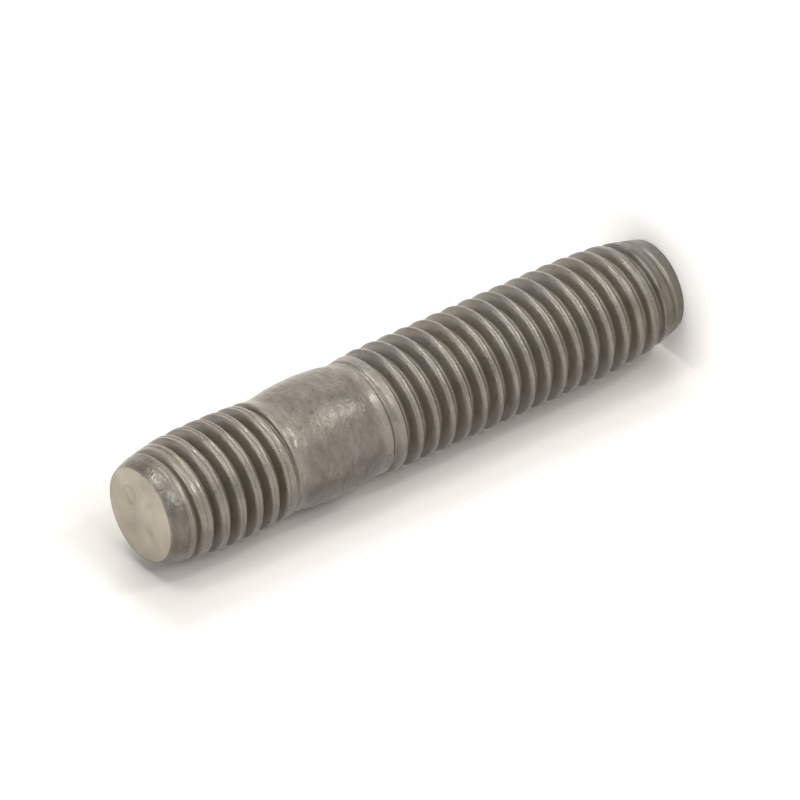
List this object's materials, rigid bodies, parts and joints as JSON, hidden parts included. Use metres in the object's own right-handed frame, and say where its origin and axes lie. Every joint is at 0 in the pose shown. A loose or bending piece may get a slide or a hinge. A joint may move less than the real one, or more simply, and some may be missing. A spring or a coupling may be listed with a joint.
{
  "type": "stud bolt",
  "caption": "Double-ended stud bolt with a short tap-end thread, a slightly barrelled plain shank and a long nut-end thread, both rolled and with tapered leads.",
  "frame": {"origin": "centre of the nut end's flat face, on which the stud stands", "axes": "+Z along the stud's axis from the long nut end up to the short tap end; +X and +Y across it, with the last crest before the shank fading out as in the picture"},
  "size_m": [0.008, 0.008, 0.04],
  "materials": {
    "steel": "bare rolled steel, dull satin with bright worn crests"
  },
  "bodies": {
    "root": {"stud": "steel"}
  },
  "joints": []
}
